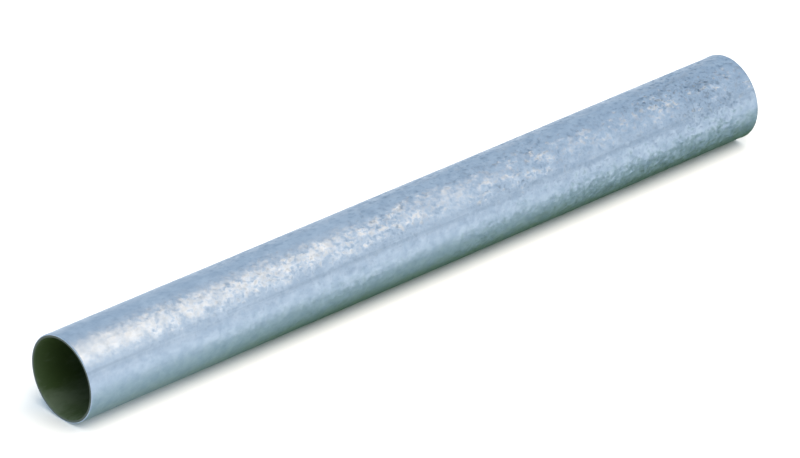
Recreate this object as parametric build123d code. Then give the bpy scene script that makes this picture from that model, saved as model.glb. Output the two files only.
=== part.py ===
"""Plain-end steel tube: a short straight length of thin-walled, seam-welded tube, hot-dip galvanised outside.

It is one piece of steel. A strip is rolled round until its edges meet and is welded along them. The flash of
the weld is scarfed off outside, which leaves a narrow flat, and is rolled down inside, which leaves a low
bead. Each end is cut square, with its outer edge rounded by the cutting wheel and its inner edge reamed.

Frame: +X runs along the tube's axis, from the centre of one end face, at the origin, to the other. +Z is up,
with the tube lying on its side.
"""

from build123d import *
import math
import os

# Driving dimensions, in millimetres and degrees
OUTSIDE_DIAMETER = 29.54  # the 1 in trade size of thin-wall tube, 1.163 in
WALL = 1.45  # 0.057 in
LENGTH = 290.0
ROLLED_EDGE = 0.35  # radius on the outer edge of each end
REAM_WIDTH = 0.40  # how far the reamed bevel goes into the wall
REAM_DEPTH = 0.70  # how far it goes along the bore
BEAD_WIDTH = 2.60  # of the weld bead, across the bore's wall
BEAD_HEIGHT = 0.18  # of its crest above the bore's wall
SCARF_WIDTH = 2.40  # of the flat that scarfing leaves along the weld
SEAM_ANGLE = 61.5  # from +Z towards -Y, about the axis
TOOL_MARGIN = 1.0  # how far a cutting tool runs past what it cuts

# Worked out from them
OUTSIDE_RADIUS = OUTSIDE_DIAMETER / 2
BORE_RADIUS = OUTSIDE_RADIUS - WALL
ROOT_HEIGHT = math.sqrt(BORE_RADIUS**2 - (BEAD_WIDTH / 2) ** 2)  # where the bead's sides meet the bore
SCARF_HEIGHT = math.sqrt(OUTSIDE_RADIUS**2 - (SCARF_WIDTH / 2) ** 2)  # from the axis to the flat
REAM_SLOPE = REAM_WIDTH / REAM_DEPTH


def seam_plane(x):
    """A plane across the tube at x, whose Y points out from the axis through the weld."""
    turn = math.radians(SEAM_ANGLE)
    outward = Vector(0, -math.sin(turn), math.cos(turn))
    return Plane(origin=(x, 0, 0), x_dir=outward.cross(Vector(1, 0, 0)), z_dir=(1, 0, 0))


def solid_bar():
    """The outside of the tube, filled in, with both of its rolled edges."""
    with BuildPart() as bar:
        with BuildSketch(seam_plane(0)):
            Circle(OUTSIDE_RADIUS)
        extrude(amount=LENGTH)
        fillet(bar.edges().filter_by(GeomType.CIRCLE), ROLLED_EDGE)
    return bar.part


def bore_tool():
    """What is hollow inside the tube: a round bore with the weld bead left standing in it."""
    half = BEAD_WIDTH / 2
    outer = BORE_RADIUS + TOOL_MARGIN
    with BuildSketch(seam_plane(-TOOL_MARGIN)) as profile:
        Circle(BORE_RADIUS)
        with BuildSketch(seam_plane(-TOOL_MARGIN), mode=Mode.SUBTRACT):
            with BuildLine():
                crest = ThreePointArc((-half, ROOT_HEIGHT), (0, BORE_RADIUS - BEAD_HEIGHT), (half, ROOT_HEIGHT))
                Polyline(crest @ 1, (half, outer), (-half, outer), crest @ 0)
            make_face()
    return extrude(profile.sketch, amount=LENGTH + 2 * TOOL_MARGIN)


def reaming_cone():
    """A cone with the reamed bevel's slope, whose base lies TOOL_MARGIN outside the near end face."""
    base_radius = BORE_RADIUS + REAM_WIDTH + TOOL_MARGIN * REAM_SLOPE
    height = base_radius / REAM_SLOPE
    base = Plane(origin=(-TOOL_MARGIN, 0, 0), z_dir=(1, 0, 0))
    return base * Cone(base_radius, 0, height, align=(Align.CENTER, Align.CENTER, Align.MIN))


def scarfing_tool():
    """What the scarfing blade takes off outside, past both ends."""
    with BuildSketch(seam_plane(-TOOL_MARGIN)) as profile:
        with Locations((0, SCARF_HEIGHT + TOOL_MARGIN / 2)):
            Rectangle(SCARF_WIDTH * 2, TOOL_MARGIN)
    return extrude(profile.sketch, amount=LENGTH + 2 * TOOL_MARGIN)


def tube():
    """The whole tube, with its weld and its two finished ends."""
    near_ream = reaming_cone()
    far_ream = mirror(near_ream, about=Plane.YZ.offset(LENGTH / 2))
    return solid_bar() - scarfing_tool() - bore_tool() - near_ream - far_ream


def main():
    os.makedirs("parts", exist_ok=True)
    made = tube()
    made.label = "tube"
    export_step(made, "parts/tube.step")
    print("tube: outside", OUTSIDE_DIAMETER, "bore", 2 * BORE_RADIUS, "length", LENGTH)
    print("volume", round(made.volume, 1), "mm3 in", len(made.solids()), "solid")


main()
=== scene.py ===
"""A plain-end galvanised steel tube, lying on a pale studio floor.

Laid out as an add-on and run as a script. The sizes and colours that a user would change are
properties. One operator models the tube with its coat, its weld and its cut ends, and one sets the stage.
"""

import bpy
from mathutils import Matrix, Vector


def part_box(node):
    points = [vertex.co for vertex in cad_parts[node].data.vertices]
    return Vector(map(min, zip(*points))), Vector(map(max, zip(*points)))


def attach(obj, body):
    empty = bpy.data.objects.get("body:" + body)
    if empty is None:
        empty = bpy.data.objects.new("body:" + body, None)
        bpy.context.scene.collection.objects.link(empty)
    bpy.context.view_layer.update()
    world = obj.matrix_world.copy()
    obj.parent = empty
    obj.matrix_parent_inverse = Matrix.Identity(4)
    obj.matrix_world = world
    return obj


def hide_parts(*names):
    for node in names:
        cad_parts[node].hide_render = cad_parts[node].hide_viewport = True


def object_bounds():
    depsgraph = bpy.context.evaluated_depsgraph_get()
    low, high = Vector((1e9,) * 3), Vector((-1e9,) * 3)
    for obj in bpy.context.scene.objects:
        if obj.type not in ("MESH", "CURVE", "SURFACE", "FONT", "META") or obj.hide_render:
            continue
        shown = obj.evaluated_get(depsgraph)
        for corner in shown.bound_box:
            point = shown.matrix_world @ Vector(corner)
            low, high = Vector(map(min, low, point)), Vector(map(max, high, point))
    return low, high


bl_info = {
    "name": "Galvanised Tube",
    "version": (1, 0, 0),
    "blender": (4, 5, 0),
    "location": "3D View > Sidebar > Tube",
    "description": "Models a short length of galvanised steel tube and sets a studio round it",
    "category": "Object",
}

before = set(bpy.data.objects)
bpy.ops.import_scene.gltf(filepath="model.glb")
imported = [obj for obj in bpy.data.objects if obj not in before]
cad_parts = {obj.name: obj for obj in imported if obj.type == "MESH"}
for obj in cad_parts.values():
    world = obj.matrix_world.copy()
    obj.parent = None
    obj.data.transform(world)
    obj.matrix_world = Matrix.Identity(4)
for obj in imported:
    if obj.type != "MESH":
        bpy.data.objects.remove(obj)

import math

import bmesh
import bpy
from mathutils import Vector, noise

MM = 0.001
TINY = 0.001 * MM
CAD_BOX = [list(corner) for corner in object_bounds()]
TUBE_LOW, TUBE_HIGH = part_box("tube")


def linear(hex_code):
    """An sRGB hex colour as the linear red, green and blue that shaders work in."""
    channels = [int(hex_code[i : i + 2], 16) / 255 for i in (1, 3, 5)]
    return [c / 12.92 if c <= 0.04045 else ((c + 0.055) / 1.055) ** 2.4 for c in channels]


def per_metre(size_mm):
    """How many features of that size, in millimetres, fit in the metre that object coordinates count in."""
    return 1000 / size_mm


# ------------------------------------------------------------------ what a user would change


class TubeSizes(bpy.types.PropertyGroup):
    length: bpy.props.FloatProperty(
        name="Length",
        description="From one cut end to the other",
        default=TUBE_HIGH.x - TUBE_LOW.x,
        subtype="DISTANCE",
        unit="LENGTH",
    )
    outside_radius: bpy.props.FloatProperty(
        name="Outside radius",
        description="Over the zinc, of the 1 in trade size",
        default=14.745 * MM,
        subtype="DISTANCE",
        unit="LENGTH",
    )
    wall: bpy.props.FloatProperty(
        name="Wall",
        description="Thickness of the steel with its coats",
        default=1.45 * MM,
        subtype="DISTANCE",
        unit="LENGTH",
    )
    rolled_edge: bpy.props.FloatProperty(
        name="Rolled edge",
        description="Radius that the cutting wheel leaves on the outer edge of each end",
        default=0.35 * MM,
        subtype="DISTANCE",
        unit="LENGTH",
    )
    ream_width: bpy.props.FloatProperty(
        name="Ream width",
        description="How far the reamed bevel goes into the wall",
        default=0.40 * MM,
        subtype="DISTANCE",
        unit="LENGTH",
    )
    ream_depth: bpy.props.FloatProperty(
        name="Ream depth",
        description="How far the reamed bevel goes along the bore",
        default=0.70 * MM,
        subtype="DISTANCE",
        unit="LENGTH",
    )
    seam_angle: bpy.props.FloatProperty(
        name="Seam angle",
        description="Where the weld runs, from the top of the tube towards the front",
        default=math.radians(61.5),
        subtype="ANGLE",
        unit="ROTATION",
    )
    scarf_width: bpy.props.FloatProperty(
        name="Scarf width",
        description="Width of the flat that scarfing leaves along the weld",
        default=2.40 * MM,
        subtype="DISTANCE",
        unit="LENGTH",
    )
    bead_width: bpy.props.FloatProperty(
        name="Bead width",
        description="Width of the weld bead inside",
        default=2.60 * MM,
        subtype="DISTANCE",
        unit="LENGTH",
    )
    bead_height: bpy.props.FloatProperty(
        name="Bead height",
        description="Height of the weld bead's crest above the bore",
        default=0.18 * MM,
        subtype="DISTANCE",
        unit="LENGTH",
    )
    crinkle_size: bpy.props.FloatProperty(
        name="Crinkle size",
        description="Width of the ridges that zinc freezes into",
        default=5.0 * MM,
        subtype="DISTANCE",
        unit="LENGTH",
    )
    crinkle_depth: bpy.props.FloatProperty(
        name="Crinkle depth",
        description="From the ridges of the zinc to its hollows",
        default=0.22 * MM,
        subtype="DISTANCE",
        unit="LENGTH",
    )
    flow_depth: bpy.props.FloatProperty(
        name="Flow depth",
        description="Depth of the long shallow waves left where the zinc ran and was wiped",
        default=0.05 * MM,
        subtype="DISTANCE",
        unit="LENGTH",
    )


class TubeColours(bpy.types.PropertyGroup):
    zinc_light: bpy.props.FloatVectorProperty(
        name="Bright zinc",
        description="The crystals and ridges of the zinc that stayed bright",
        default=linear("#CDD8E4"),
        subtype="COLOR",
        min=0,
        max=1,
    )
    zinc_dull: bpy.props.FloatVectorProperty(
        name="Dulled zinc",
        description="The zinc between them, where it has begun to weather",
        default=linear("#BCCAD9"),
        subtype="COLOR",
        min=0,
        max=1,
    )
    specks: bpy.props.FloatVectorProperty(
        name="Specks",
        description="The dull specks between the crystals",
        default=linear("#8496A8"),
        subtype="COLOR",
        min=0,
        max=1,
    )
    # Partly painted shade: the weld line's dull colour also stands in for the dark band between the two
    # highlights
    weld: bpy.props.FloatVectorProperty(
        name="Weld line",
        description="The thin, dull zinc over the weld",
        default=linear("#AFBDCB"),
        subtype="COLOR",
        min=0,
        max=1,
    )
    cut_steel: bpy.props.FloatVectorProperty(
        name="Cut steel",
        description="The bare steel of the cut ends",
        default=linear("#5E655A"),
        subtype="COLOR",
        min=0,
        max=1,
    )
    inside_coat: bpy.props.FloatVectorProperty(
        name="Inside coat",
        description="The thin dark organic coat in the bore",
        default=linear("#32441E"),
        subtype="COLOR",
        min=0,
        max=1,
    )
    inside_dust: bpy.props.FloatVectorProperty(
        name="Inside dust",
        description="Where the inside coat is thin and dusty",
        default=linear("#525F49"),
        subtype="COLOR",
        min=0,
        max=1,
    )
    floor: bpy.props.FloatVectorProperty(
        name="Floor",
        description="The studio floor",
        default=linear("#F4F4F2"),
        subtype="COLOR",
        min=0,
        max=1,
    )
    # Painted shadow: the dark green middle of the card stands in for the floor in the tube's own shadow, as
    # the metal mirrors it
    card_shadow_middle: bpy.props.FloatVectorProperty(
        name="Card's middle",
        description="The middle of the card that the underside of the tube mirrors",
        default=linear("#48653A"),
        subtype="COLOR",
        min=0,
        max=1,
    )
    # Painted shade: greyer beside the middle, where the tube's shadow thins
    card_shade_side: bpy.props.FloatVectorProperty(
        name="Card's sides",
        description="The card on both sides of its middle",
        default=linear("#8AA3A6"),
        subtype="COLOR",
        min=0,
        max=1,
    )


class StudioSizes(bpy.types.PropertyGroup):
    azimuth: bpy.props.FloatProperty(
        name="Azimuth",
        description="Where the camera stands round the tube, from straight in front",
        default=math.radians(-42.1),
        subtype="ANGLE",
        unit="ROTATION",
    )
    elevation: bpy.props.FloatProperty(
        name="Elevation",
        description="How far the camera stands above the horizon",
        default=math.radians(28.0),
        subtype="ANGLE",
        unit="ROTATION",
    )
    distance: bpy.props.FloatProperty(
        name="Distance",
        description="From the camera to the middle of the tube",
        default=2.102,
        subtype="DISTANCE",
        unit="LENGTH",
    )
    lens: bpy.props.FloatProperty(
        name="Focal length",
        description="A long lens, which keeps the tube's sides nearly parallel",
        default=292.5,
        subtype="DISTANCE_CAMERA",
        unit="CAMERA",
    )
    aim_right: bpy.props.FloatProperty(
        name="Aim to the right",
        description="How far beside the middle of the tube the camera aims",
        default=-2.6 * MM,
        subtype="DISTANCE",
        unit="LENGTH",
    )
    aim_up: bpy.props.FloatProperty(
        name="Aim up",
        description="How far above the middle of the tube the camera aims",
        default=0.89 * MM,
        subtype="DISTANCE",
        unit="LENGTH",
    )


# ------------------------------------------------------------------ modelling

SIDES = 176
BORE_RINGS = 35
SKIN_CUTS = (19, 19)
SMOOTH_ANGLE = math.radians(40)


def select_where(piece, part, test):
    """In edit mode, selects just the vertices, edges or faces that pass the test, and returns how many."""
    bpy.ops.mesh.select_all(action="DESELECT")
    bpy.ops.mesh.select_mode(type={"verts": "VERT", "edges": "EDGE", "faces": "FACE"}[part])
    shape = bmesh.from_edit_mesh(piece.data)
    chosen = [item for item in getattr(shape, part) if test(item)]
    for item in chosen:
        item.select_set(True)
    shape.select_flush_mode()
    bmesh.update_edit_mesh(piece.data)
    if not chosen:
        raise RuntimeError(f"no {part} of {piece.name} lie where they should")
    return len(chosen)


def radius(point):
    """Distance from the tube's axis."""
    return math.hypot(point.y, point.z)


def tube_blank(sizes):
    """The outside skin, open at both ends and without its edges, with its weld at the top."""
    bpy.ops.object.select_all(action="DESELECT")
    bpy.ops.mesh.primitive_cylinder_add(
        vertices=SIDES,
        radius=sizes.outside_radius,
        depth=sizes.length - 2 * sizes.rolled_edge,
        end_fill_type="NOTHING",
        location=(sizes.length / 2, 0, 0),
        rotation=(0, math.radians(90), 0),
    )
    blank = bpy.context.object
    blank.name = blank.data.name = "galvanised_tube"
    bpy.ops.object.transform_apply(location=True, rotation=True, scale=True)
    return blank


def edge_profile(sizes):
    """From the outside skin round one end to the bore, as distance from the end's face and radius."""
    roll = sizes.rolled_edge
    bore = sizes.outside_radius - sizes.wall
    steps = [math.radians(a) for a in (22.5, 45, 67.5, 90)]
    rolled = [(roll * (1 - math.sin(a)), sizes.outside_radius - roll * (1 - math.cos(a))) for a in steps]
    face_middle = (0, (rolled[-1][1] + bore + sizes.ream_width) / 2)
    return rolled + [face_middle, (0, bore + sizes.ream_width), (sizes.ream_depth, bore)]


def finish_end(piece, sizes, far):
    """Extrudes one open edge of the skin round its rolled edge, across its cut face and down its bevel."""
    place, size = sizes.rolled_edge, sizes.outside_radius
    middle = sizes.length / 2

    def open_at_this_end(edge):
        return edge.is_boundary and all((v.co.x > middle) == far for v in edge.verts)

    select_where(piece, "edges", open_at_this_end)
    for depth, around in edge_profile(sizes):
        step = place - depth if far else depth - place
        bpy.ops.mesh.extrude_region_move(TRANSFORM_OT_translate={"value": (step, 0, 0)})
        bpy.ops.transform.resize(value=(1, around / size, around / size), center_override=(middle, 0, 0))
        place, size = depth, around


def join_bore(piece):
    """Bridges the two reamed edges with the bore's wall."""
    select_where(piece, "edges", lambda edge: edge.is_boundary)
    bpy.ops.mesh.bridge_edge_loops(number_cuts=BORE_RINGS)


def raise_bead(piece, sizes):
    """Pushes the columns of the bore's wall under the weld into a low rounded rib."""
    bore = sizes.outside_radius - sizes.wall
    half = sizes.bead_width / 2
    places = [v.co for v in bmesh.from_edit_mesh(piece.data).verts]
    columns = {round(place.y, 6) for place in places if place.z > 0 and abs(place.y) < half}
    for across in sorted(columns):
        height = sizes.bead_height * (1 - (across / half) ** 2)

        def in_column(vertex):
            place = vertex.co
            return abs(place.y - across) < 2 * TINY and place.z > 0 and radius(place) < bore + TINY

        if any(in_column(v) for v in bmesh.from_edit_mesh(piece.data).verts):
            select_where(piece, "verts", in_column)
            bpy.ops.transform.translate(value=(0, 0, -height))


def divide_skin(piece, sizes):
    """Cuts the outside skin into short rings, fine enough to carry the crinkle of the zinc."""
    for cuts in SKIN_CUTS:
        select_where(
            piece,
            "edges",
            lambda edge: all(radius(v.co) > sizes.outside_radius - TINY for v in edge.verts)
            and abs(edge.verts[0].co.x - edge.verts[1].co.x) > TINY,
        )
        bpy.ops.mesh.subdivide(number_cuts=cuts)


def scarf_weld(piece, sizes):
    """Flattens the outside along the weld, as the scarfing blade does."""
    flat = math.sqrt(sizes.outside_radius**2 - (sizes.scarf_width / 2) ** 2)
    select_where(piece, "verts", lambda vertex: vertex.co.z > flat)
    bpy.ops.transform.resize(value=(1, 1, 0), center_override=(0, 0, flat))


def paint_faces(piece, sizes):
    """Gives the cut faces and the bore their own materials. The skin and its rolled edges keep the zinc."""
    bore = sizes.outside_radius - sizes.wall
    face_edge = sizes.outside_radius - sizes.rolled_edge
    select_where(piece, "faces", lambda face: radius(face.calc_center_median()) < face_edge)
    piece.active_material_index = 1
    bpy.ops.object.material_slot_assign()
    reamed = bore + sizes.ream_width + TINY
    select_where(piece, "faces", lambda face: all(radius(v.co) < reamed for v in face.verts))
    piece.active_material_index = 2
    bpy.ops.object.material_slot_assign()


def grown(least, share):
    """A weight that grows from least, where the share is 0 or below, to 1, where it is 1 or above."""
    return least + (1 - least) * min(max(share, 0), 1)


def coat_group(piece, sizes, name, patch=None):
    """A vertex group that holds the outside skin and fades out before each end. Where patch is given, it is
    strong only in irregular patches of about that length, and more so towards the far end."""
    group = piece.vertex_groups.new(name=name)
    skin = sizes.outside_radius - 0.1 * MM
    end_fade = 3 * MM
    full_strength_from = 0.7 * sizes.length
    patch_contrast = 1.6
    for vertex in piece.data.vertices:
        if radius(vertex.co) > skin:
            from_end = min(vertex.co.x, sizes.length - vertex.co.x) - sizes.rolled_edge
            weight = grown(0.15, from_end / end_fade)
            if patch:
                here = Vector((vertex.co.x / patch, vertex.co.y * 2 / patch, vertex.co.z * 2 / patch))
                weight *= grown(0.3, 0.5 + patch_contrast * noise.noise(here))
                weight *= grown(0.4, vertex.co.x / full_strength_from)
            group.add([vertex.index], weight, "REPLACE")
    return group.name


def press_in(piece, group, name, depth, feature, stretch, detail):
    """Sinks the skin by up to depth under a cloud pattern whose features are that size, stretched along
    each axis."""
    pattern = bpy.data.textures.new(name, "CLOUDS")
    pattern.noise_scale = 1
    pattern.noise_depth = detail
    pattern.noise_basis = "ORIGINAL_PERLIN"
    bpy.ops.object.empty_add(location=(0, 0, 0))
    scaler = bpy.context.object
    scaler.scale = [feature * s for s in stretch]
    bpy.context.view_layer.update()
    bpy.ops.object.select_all(action="DESELECT")
    piece.select_set(True)
    bpy.context.view_layer.objects.active = piece
    bpy.ops.object.modifier_add(type="DISPLACE")
    sink = piece.modifiers[-1]
    sink.name = name
    sink.texture = pattern
    sink.texture_coords = "OBJECT"
    sink.texture_coords_object = scaler
    sink.mid_level = 1
    sink.strength = depth
    sink.vertex_group = group
    bpy.ops.object.modifier_apply(modifier=name)
    bpy.data.objects.remove(scaler)
    bpy.data.textures.remove(pattern)


# ------------------------------------------------------------------ materials


def add_node(tree, kind, settings=None, values=None, links=None):
    """Adds a node with its settings, its sockets' values and the outputs that feed its sockets."""
    made = tree.nodes.new(kind)
    for name, value in (settings or {}).items():
        setattr(made, name, value)
    for socket, value in (values or {}).items():
        made.inputs[socket].default_value = value
    for socket, source in (links or {}).items():
        tree.links.new(source, made.inputs[socket])
    return made


# The radians that the Wave texture turns through in one unit at a scale of 1
WAVE_TURN = 20


def new_material(name):
    """An empty material and its node tree."""
    material = bpy.data.materials.new(name)
    material.use_nodes = True
    material.node_tree.nodes.clear()
    return material, material.node_tree


def hot_dip_galvanised_zinc(sizes, colours):
    """Zinc frozen on steel drawn from the bath: a cool, softly shining metal. Its crystals, about 2 mm
    across, tilt their faces every way, which breaks the highlights up into sparks and dark specks. They are
    rougher in patches, along the upper front and towards the far end, and smoother by the near end, where
    the zinc drained last."""
    material, tree = new_material("hot_dip_galvanised_zinc")
    place = add_node(tree, "ShaderNodeTexCoord").outputs["Object"]
    split = add_node(tree, "ShaderNodeSeparateXYZ", links={"Vector": place}).outputs

    # The length and width of each pattern's features in millimetres, how many times it is halved, and how
    # much each halving keeps
    noises = {}
    for name, (length, width, detail, keep) in {
        "crystals": (2.0, 1.6, 1.6, 0.7),
        "dents": (7, 3.2, 1, 0.55),
        "streaks": (45, 1.2, 2, 0.55),
        "blotches": (4, 3.5, 2.5, 0.55),
        "patches": (40, 16, 1, 0.55),
    }.items():
        scaled = add_node(
            tree,
            "ShaderNodeMapping",
            values={"Scale": (per_metre(length), per_metre(width), per_metre(width))},
            links={"Vector": place},
        )
        noises[name] = add_node(
            tree,
            "ShaderNodeTexNoise",
            values={"Scale": 1, "Detail": detail, "Roughness": keep, "Distortion": 0.25},
            links={"Vector": scaled.outputs["Vector"]},
        ).outputs

    blotch = add_node(
        tree,
        "ShaderNodeMapRange",
        values={"From Min": 0.35, "From Max": 0.65},
        links={"Value": noises["blotches"]["Fac"]},
    ).outputs["Result"]
    colour = add_node(
        tree,
        "ShaderNodeMix",
        settings={"data_type": "RGBA"},
        values={"A": (*colours.zinc_dull, 1), "B": (*colours.zinc_light, 1)},
        links={"Factor": blotch},
    ).outputs["Result"]
    roughness = add_node(
        tree,
        "ShaderNodeMapRange",
        values={"To Min": 0.47, "To Max": 0.41},
        links={"Value": blotch},
    ).outputs["Result"]

    # The weld's line: a soft, duller stripe that fades in and out with the streaks, partly the thin zinc
    # over the
    #     weld and partly painted shade for the dark band between the two highlights. Turned back by the
    #     seam's angle, it lies on +Z. Each row holds what the stripe follows, between which values, and how
    #     strong it is at the first and at the second
    turned = add_node(
        tree,
        "ShaderNodeMapping",
        values={"Rotation": (-sizes.seam_angle, 0, 0)},
        links={"Vector": place},
    ).outputs["Vector"]
    weld_place = add_node(tree, "ShaderNodeSeparateXYZ", links={"Vector": turned})
    from_weld = add_node(
        tree, "ShaderNodeMath", settings={"operation": "ABSOLUTE"}, links={0: weld_place.outputs["Y"]}
    ).outputs["Value"]
    weld_and_shade_line = add_node(
        tree,
        "ShaderNodeMath",
        settings={"operation": "GREATER_THAN"},
        values={1: 0},
        links={0: weld_place.outputs["Z"]},
    ).outputs["Value"]
    for source, low, high, least, most in (
        (from_weld, 0.1 * MM, 1.9 * MM, 0.8, 0),
        (noises["streaks"]["Fac"], 0.35, 0.6, 0.1, 1),
    ):
        share = add_node(
            tree,
            "ShaderNodeMapRange",
            values={"From Min": low, "From Max": high, "To Min": least, "To Max": most},
            links={"Value": source},
        ).outputs["Result"]
        weld_and_shade_line = add_node(
            tree, "ShaderNodeMath", settings={"operation": "MULTIPLY"}, links={0: weld_and_shade_line, 1: share}
        ).outputs["Value"]
    colour_with_weld_and_shade = add_node(
        tree,
        "ShaderNodeMix",
        settings={"data_type": "RGBA"},
        values={"B": (*colours.weld, 1)},
        links={"Factor": weld_and_shade_line, "A": colour},
    ).outputs["Result"]

    # How coarse the crystals are: rougher in patches. Each row holds an axis, from where to where the
    # coarseness changes along it, and its share at the first and at the second
    coarse = add_node(
        tree,
        "ShaderNodeMapRange",
        values={"From Min": 0.38, "From Max": 0.62, "To Min": 0.5, "To Max": 1.1},
        links={"Value": noises["patches"]["Fac"]},
    ).outputs["Result"]
    for axis, start, end, least, most in (
        ("X", 5 * MM, 80 * MM, 0.45, 1),
        ("X", 110 * MM, 230 * MM, 1, 2.3),
        ("Y", -7 * MM, 0, 1, 0.65),
        ("Z", 2 * MM, 10 * MM, 0.4, 1),
    ):
        share = add_node(
            tree,
            "ShaderNodeMapRange",
            values={"From Min": start, "From Max": end, "To Min": least, "To Max": most},
            links={"Value": split[axis]},
        ).outputs["Result"]
        coarse = add_node(
            tree, "ShaderNodeMath", settings={"operation": "MULTIPLY"}, links={0: coarse, 1: share}
        ).outputs["Value"]

    # The dull specks between the crystals, where the crystals' pattern is low
    speck = add_node(
        tree,
        "ShaderNodeMapRange",
        values={"From Min": 0.5, "From Max": 0.3, "To Max": 0.45},
        links={"Value": noises["crystals"]["Fac"]},
    ).outputs["Result"]
    speck = add_node(
        tree, "ShaderNodeMath", settings={"operation": "MULTIPLY"}, links={0: speck, 1: coarse}
    ).outputs["Value"]
    colour_with_specks = add_node(
        tree,
        "ShaderNodeMix",
        settings={"data_type": "RGBA"},
        values={"B": (*colours.specks, 1)},
        links={"Factor": speck, "A": colour_with_weld_and_shade},
    ).outputs["Result"]

    # The crystals' faces: the surface's own direction, tilted at random by the crystals and, less, by the
    # dents. A pattern's middle is a half, so half of what both add up to is taken off
    dents_share = 0.4
    lean = add_node(
        tree,
        "ShaderNodeVectorMath",
        settings={"operation": "MULTIPLY_ADD"},
        values={1: (dents_share,) * 3},
        links={0: noises["dents"]["Color"], 2: noises["crystals"]["Color"]},
    ).outputs["Vector"]
    lean = add_node(
        tree,
        "ShaderNodeVectorMath",
        settings={"operation": "SUBTRACT"},
        values={1: ((1 + dents_share) / 2,) * 3},
        links={0: lean},
    ).outputs["Vector"]
    lean = add_node(
        tree,
        "ShaderNodeVectorMath",
        settings={"operation": "SCALE"},
        links={"Vector": lean, "Scale": coarse},
    ).outputs["Vector"]
    surface = add_node(tree, "ShaderNodeNewGeometry").outputs["Normal"]
    leaning = add_node(
        tree, "ShaderNodeVectorMath", settings={"operation": "ADD"}, links={0: surface, 1: lean}
    ).outputs["Vector"]
    faces = add_node(
        tree, "ShaderNodeVectorMath", settings={"operation": "NORMALIZE"}, links={0: leaning}
    ).outputs["Vector"]
    relief = add_node(
        tree,
        "ShaderNodeBump",
        values={"Strength": 1, "Distance": 0.02 * MM},
        links={"Height": noises["streaks"]["Fac"], "Normal": faces},
    ).outputs["Normal"]

    metal = add_node(
        tree,
        "ShaderNodeBsdfPrincipled",
        values={"Metallic": 1},
        links={"Base Color": colour_with_specks, "Roughness": roughness, "Normal": relief},
    )
    add_node(tree, "ShaderNodeOutputMaterial", links={"Surface": metal.outputs["BSDF"]})
    return material


def wheel_cut_steel(colours):
    """Bare mild steel from the cutting wheel: grey and satin, with faint rings round the tube's axis."""
    material, tree = new_material("wheel_cut_steel")
    # The rings' wave turns one radian in this many millimetres, so they stand about 1.57 mm apart
    one_radian = 0.25
    place = add_node(tree, "ShaderNodeTexCoord").outputs["Object"]
    rings = add_node(
        tree,
        "ShaderNodeTexWave",
        settings={"wave_type": "RINGS", "rings_direction": "X"},
        values={"Scale": per_metre(one_radian) / WAVE_TURN, "Distortion": 1.5, "Detail": 2},
        links={"Vector": place},
    ).outputs["Fac"]
    roughness = add_node(
        tree,
        "ShaderNodeMapRange",
        values={"To Min": 0.32, "To Max": 0.5},
        links={"Value": rings},
    ).outputs["Result"]
    relief = add_node(
        tree,
        "ShaderNodeBump",
        values={"Strength": 1, "Distance": 0.01 * MM},
        links={"Height": rings},
    ).outputs["Normal"]
    metal = add_node(
        tree,
        "ShaderNodeBsdfPrincipled",
        values={"Base Color": (*colours.cut_steel, 1), "Metallic": 1},
        links={"Roughness": roughness, "Normal": relief},
    )
    add_node(tree, "ShaderNodeOutputMaterial", links={"Surface": metal.outputs["BSDF"]})
    return material


def sprayed_bore_lacquer(colours):
    """A thin dark olive lacquer sprayed down the bore: nearly black, with a low gloss, dusty where it is
    thin, and lighter towards the bottom."""
    material, tree = new_material("sprayed_bore_lacquer")
    place = add_node(tree, "ShaderNodeTexCoord").outputs["Object"]
    thin_place = add_node(
        tree,
        "ShaderNodeMapping",
        values={"Scale": (per_metre(14), per_metre(5), per_metre(5))},
        links={"Vector": place},
    ).outputs["Vector"]
    thin = add_node(
        tree,
        "ShaderNodeTexNoise",
        values={"Scale": 1, "Detail": 5, "Roughness": 0.65},
        links={"Vector": thin_place},
    ).outputs["Fac"]
    height = add_node(tree, "ShaderNodeSeparateXYZ", links={"Vector": place}).outputs["Z"]
    # Lighter towards the bottom of the bore
    lighter_low = add_node(
        tree,
        "ShaderNodeMapRange",
        values={"From Min": -2 * MM, "From Max": -13 * MM, "To Max": 0.25},
        links={"Value": height},
    ).outputs["Result"]
    dust = add_node(
        tree, "ShaderNodeMath", settings={"operation": "ADD"}, links={0: thin, 1: lighter_low}
    ).outputs["Value"]
    dusty = add_node(
        tree,
        "ShaderNodeMapRange",
        values={"From Min": 0.55, "From Max": 0.8},
        links={"Value": dust},
    ).outputs["Result"]
    colour = add_node(
        tree,
        "ShaderNodeMix",
        settings={"data_type": "RGBA"},
        values={"A": (*colours.inside_coat, 1), "B": (*colours.inside_dust, 1)},
        links={"Factor": dusty},
    ).outputs["Result"]
    peel = add_node(
        tree,
        "ShaderNodeTexNoise",
        values={"Scale": per_metre(1.2), "Detail": 2},
        links={"Vector": place},
    ).outputs["Fac"]
    relief = add_node(
        tree,
        "ShaderNodeBump",
        values={"Strength": 1, "Distance": 0.03 * MM},
        links={"Height": peel},
    ).outputs["Normal"]
    lacquer = add_node(
        tree,
        "ShaderNodeBsdfPrincipled",
        values={"Roughness": 0.5, "IOR": 1.5},
        links={"Base Color": colour, "Normal": relief},
    )
    add_node(tree, "ShaderNodeOutputMaterial", links={"Surface": lacquer.outputs["BSDF"]})
    return material


# ------------------------------------------------------------------ the operators


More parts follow.
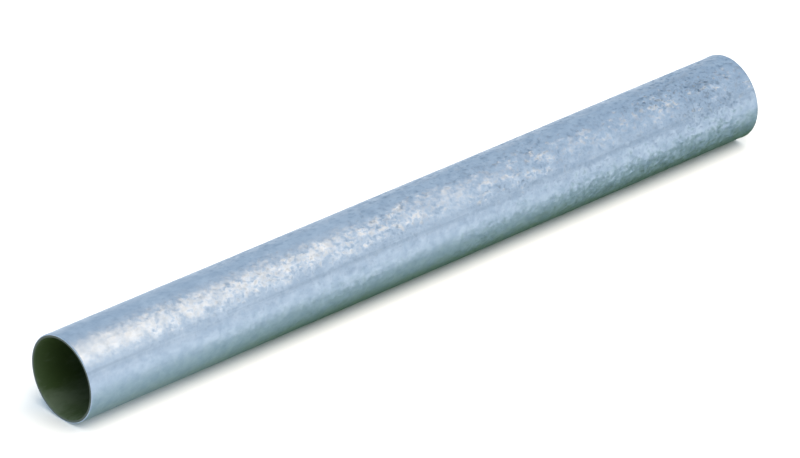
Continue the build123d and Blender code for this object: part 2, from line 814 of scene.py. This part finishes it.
class TUBE_OT_galvanised_tube(bpy.types.Operator):
    """Models the tube: skin, rolled and reamed ends, weld, bore and the relief of the zinc"""

    bl_idname = "tube.galvanised_tube"
    bl_label = "Galvanised Tube"

    def execute(self, context):
        sizes, colours = context.scene.tube_sizes, context.scene.tube_colours
        piece = tube_blank(sizes)
        for material in (
            hot_dip_galvanised_zinc(sizes, colours),
            wheel_cut_steel(colours),
            sprayed_bore_lacquer(colours),
        ):
            piece.data.materials.append(material)
        bpy.ops.object.mode_set(mode="EDIT")
        finish_end(piece, sizes, far=False)
        finish_end(piece, sizes, far=True)
        join_bore(piece)
        paint_faces(piece, sizes)
        raise_bead(piece, sizes)
        divide_skin(piece, sizes)
        scarf_weld(piece, sizes)
        bpy.ops.mesh.select_all(action="SELECT")
        bpy.ops.mesh.normals_make_consistent(inside=False)
        bpy.ops.object.mode_set(mode="OBJECT")
        piece.rotation_euler.x = sizes.seam_angle
        bpy.ops.object.transform_apply(location=True, rotation=True, scale=True)
        bpy.ops.object.shade_smooth_by_angle(angle=SMOOTH_ANGLE)
        everywhere = coat_group(piece, sizes, "coat")
        in_patches = coat_group(piece, sizes, "crinkled", patch=34 * MM)
        press_in(piece, everywhere, "flow", sizes.flow_depth, feature=9 * MM, stretch=(6, 1, 1), detail=2)
        press_in(
            piece,
            in_patches,
            "crinkle",
            sizes.crinkle_depth,
            feature=sizes.crinkle_size,
            stretch=(1, 1, 1),
            detail=2,
        )
        piece.vertex_groups.clear()
        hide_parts("tube")
        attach(piece, "root")
        return {"FINISHED"}


class TUBE_OT_studio(bpy.types.Operator):
    """Sets a pale floor with a card of painted shadow under it, soft lights and the camera round the tube
    """

    bl_idname = "tube.studio"
    bl_label = "Studio"

    def execute(self, context):
        scene, sizes, colours = context.scene, context.scene.studio_sizes, context.scene.tube_colours
        low, high = (Vector(corner) for corner in CAD_BOX)
        middle = (low + high) / 2
        self.floor(middle, low.z, colours)
        self.card(middle, low.z, colours)
        self.lights(middle)
        self.surroundings(scene)
        self.camera(scene, sizes, middle)
        scene.view_settings.view_transform = "Standard"
        return {"FINISHED"}

    def floor(self, middle, height, colours):
        """A plain pale floor that the tube lies on. Light passes up through it, so that the card shows."""
        bpy.ops.mesh.primitive_circle_add(
            vertices=96, radius=9, fill_type="NGON", location=(middle.x, middle.y, height)
        )
        floor = bpy.context.object
        floor.name = "floor"
        material, tree = new_material("matt_floor_paint")
        paint = add_node(
            tree,
            "ShaderNodeBsdfPrincipled",
            values={"Base Color": (*colours.floor, 1), "Roughness": 0.9, "Specular IOR Level": 0.2},
        )
        add_node(tree, "ShaderNodeOutputMaterial", links={"Surface": paint.outputs["BSDF"]})
        floor.data.materials.append(material)
        floor.visible_glossy = floor.visible_shadow = False

    def card(self, middle, height, colours):
        """A card just under the floor, which shows only in the underside of the metal: a painted reflection
        of the floor lying in the tube's shadow. Its painted shadow is dark green along the middle and
        greyer beside it. It clears towards both sides, and partly towards the near end, which paints the
        underside lighter there."""
        length, width = 0.7, 0.16
        under_floor = 0.5 * MM
        bpy.ops.mesh.primitive_plane_add(size=1, location=(length / 2, middle.y, height - under_floor))
        card = bpy.context.object
        card.name = "green_card"
        card.scale = (length, width, 1)
        bpy.ops.object.transform_apply(location=True, rotation=True, scale=True)
        material, tree = new_material("printed_card")
        place = add_node(tree, "ShaderNodeTexCoord").outputs["Object"]
        split = add_node(tree, "ShaderNodeSeparateXYZ", links={"Vector": place}).outputs
        from_middle = add_node(
            tree, "ShaderNodeMath", settings={"operation": "ABSOLUTE"}, links={0: split["Y"]}
        ).outputs["Value"]
        # Painted shadow: darkest and greenest within 10 mm of the middle, under the tube, and greyer by 21
        # mm
        side = add_node(
            tree,
            "ShaderNodeMapRange",
            values={"From Min": 10 * MM, "From Max": 21 * MM},
            links={"Value": from_middle},
        ).outputs["Result"]
        painted_shade = add_node(
            tree,
            "ShaderNodeMix",
            settings={"data_type": "RGBA"},
            values={"A": (*colours.card_shadow_middle, 1), "B": (*colours.card_shade_side, 1)},
            links={"Factor": side},
        ).outputs["Result"]
        across = add_node(
            tree,
            "ShaderNodeMapRange",
            settings={"interpolation_type": "SMOOTHSTEP"},
            values={"From Min": 28 * MM, "From Max": 62 * MM, "To Min": 1, "To Max": 0},
            links={"Value": from_middle},
        ).outputs["Result"]
        # Painted light: the card partly clears towards the near end, so the underside is lighter there
        lengthways = add_node(
            tree,
            "ShaderNodeMapRange",
            settings={"interpolation_type": "SMOOTHSTEP"},
            values={"From Min": 0, "From Max": 110 * MM, "To Min": 0.68},
            links={"Value": split["X"]},
        ).outputs["Result"]
        opacity = add_node(
            tree, "ShaderNodeMath", settings={"operation": "MULTIPLY"}, links={0: across, 1: lengthways}
        ).outputs["Value"]
        shade_sheet = add_node(
            tree,
            "ShaderNodeBsdfPrincipled",
            values={"Roughness": 1, "Specular IOR Level": 0},
            links={"Base Color": painted_shade, "Alpha": opacity},
        )
        add_node(tree, "ShaderNodeOutputMaterial", links={"Surface": shade_sheet.outputs["BSDF"]})
        card.data.materials.append(material)
        card.visible_camera = card.visible_diffuse = False

    def lights(self, middle):
        """A warm softbox whose highlight fades along the tube, a small cool one that carries it on, two low
        front lamps that soften its lower edge, and a broad wash that whitens the floor without showing in
        the metal."""
        # Each lamp's name, offset from the tube's middle in metres, length and width, watts and colour
        lamps = (
            ("warm_softbox", (0.035, -0.113, 0.384), (0.33, 0.34), 0.68, "#FFDDB4"),
            ("cool_softbox", (0.245, -0.113, 0.384), (0.08, 0.32), 0.055, "#F2F6FF"),
            ("front_fill", (0.015, -0.235, 0.135), (0.22, 0.20), 0.038, "#FFF6EA"),
            ("front_strip", (0.0, -0.235, 0.135), (0.46, 0.18), 0.068, "#FFF6EA"),
        )
        for name, offset, size, power, colour in lamps:
            # Turned about the tube's axis only, so that the highlight's edges run along the tube
            towards_tube = math.atan2(-offset[1], offset[2])
            bpy.ops.object.light_add(
                type="AREA", location=middle + Vector(offset), rotation=(towards_tube, 0, 0)
            )
            lamp = bpy.context.object
            lamp.name = name
            lamp.data.shape = "RECTANGLE"
            lamp.data.size, lamp.data.size_y = size
            lamp.data.energy = power
            lamp.data.color = linear(colour)
            lamp.visible_camera = False
        wash_tilt, wash_spread, wash_strength = math.radians(25), math.radians(70), 3
        bpy.ops.object.light_add(
            type="SUN", location=middle + Vector((0, -1, 2)), rotation=(wash_tilt, 0, 0)
        )
        wash = bpy.context.object
        wash.name = "floor_wash"
        wash.data.energy = wash_strength
        wash.data.angle = wash_spread
        wash.data.color = linear("#FFF6EA")
        wash.visible_glossy = False

    def surroundings(self, scene):
        """A plain, softly lit room: brightest at and just below the horizon, greyer above it and bluer
        overhead."""
        strength = 1.3
        # Each band's height, from -1 straight down to 1 straight up, and colour
        bands = (
            (-0.60, "#ACB9C4"),
            (-0.30, "#E6EFFA"),
            (-0.09, "#F4FAFF"),
            (0.02, "#C3CED9"),
            (0.12, "#ABB8C5"),
            (0.30, "#A7B5C4"),
            (0.52, "#B8C8D4"),
            (0.68, "#BACDDE"),
            (0.80, "#7A96AE"),
        )
        world = bpy.data.worlds.new("studio_room")
        world.use_nodes = True
        scene.world = world
        tree = world.node_tree
        tree.nodes.clear()
        direction = add_node(tree, "ShaderNodeTexCoord").outputs["Generated"]
        height = add_node(tree, "ShaderNodeSeparateXYZ", links={"Vector": direction}).outputs["Z"]
        share = add_node(
            tree, "ShaderNodeMapRange", values={"From Min": -1, "From Max": 1}, links={"Value": height}
        ).outputs["Result"]
        ramp = add_node(tree, "ShaderNodeValToRGB", links={"Fac": share})
        stops = ramp.color_ramp.elements
        for index, (level, colour) in enumerate(bands):
            stop = stops[index] if index < len(stops) else stops.new(1)
            stop.position = (level + 1) / 2
            stop.color = (*linear(colour), 1)
        room = add_node(
            tree,
            "ShaderNodeBackground",
            values={"Strength": strength},
            links={"Color": ramp.outputs["Color"]},
        )
        add_node(tree, "ShaderNodeOutputWorld", links={"Surface": room.outputs["Background"]})

    def camera(self, scene, sizes, middle):
        """The camera, aimed close to the middle of the tube."""
        turn, rise = sizes.azimuth, sizes.elevation
        back = Vector((math.sin(turn) * math.cos(rise), -math.cos(turn) * math.cos(rise), math.sin(rise)))
        right = Vector((math.cos(turn), math.sin(turn), 0))
        aim = middle + right * sizes.aim_right + back.cross(right) * sizes.aim_up
        bpy.ops.object.camera_add(location=aim + back * sizes.distance)
        camera = bpy.context.object
        camera.rotation_mode = "QUATERNION"
        camera.rotation_quaternion = (-back).to_track_quat("-Z", "Y")
        camera.data.lens = sizes.lens
        camera.data.sensor_width = 36
        camera.data.clip_start, camera.data.clip_end = 0.05, 50
        scene.camera = camera


class TUBE_PT_tube(bpy.types.Panel):
    """Lists the operators and what they read"""

    bl_label = "Galvanised Tube"
    bl_idname = "TUBE_PT_tube"
    bl_space_type = "VIEW_3D"
    bl_region_type = "UI"
    bl_category = "Tube"

    def draw(self, context):
        scene = context.scene
        for operator, groups in (
            (TUBE_OT_galvanised_tube, (scene.tube_sizes, scene.tube_colours)),
            (TUBE_OT_studio, (scene.studio_sizes,)),
        ):
            self.layout.operator(operator.bl_idname)
            box = self.layout.box()
            for group in groups:
                for name in group.bl_rna.properties.keys():
                    if name not in {"rna_type", "name"}:
                        box.prop(group, name)


CLASSES = (TubeSizes, TubeColours, StudioSizes, TUBE_OT_galvanised_tube, TUBE_OT_studio, TUBE_PT_tube)


def register():
    for cls in CLASSES:
        bpy.utils.register_class(cls)
    bpy.types.Scene.tube_sizes = bpy.props.PointerProperty(type=TubeSizes)
    bpy.types.Scene.tube_colours = bpy.props.PointerProperty(type=TubeColours)
    bpy.types.Scene.studio_sizes = bpy.props.PointerProperty(type=StudioSizes)


def unregister():
    del bpy.types.Scene.studio_sizes
    del bpy.types.Scene.tube_colours
    del bpy.types.Scene.tube_sizes
    for cls in reversed(CLASSES):
        bpy.utils.unregister_class(cls)


def main():
    register()
    bpy.ops.tube.galvanised_tube()
    bpy.ops.tube.studio()


if __name__ == "__main__":
    main()
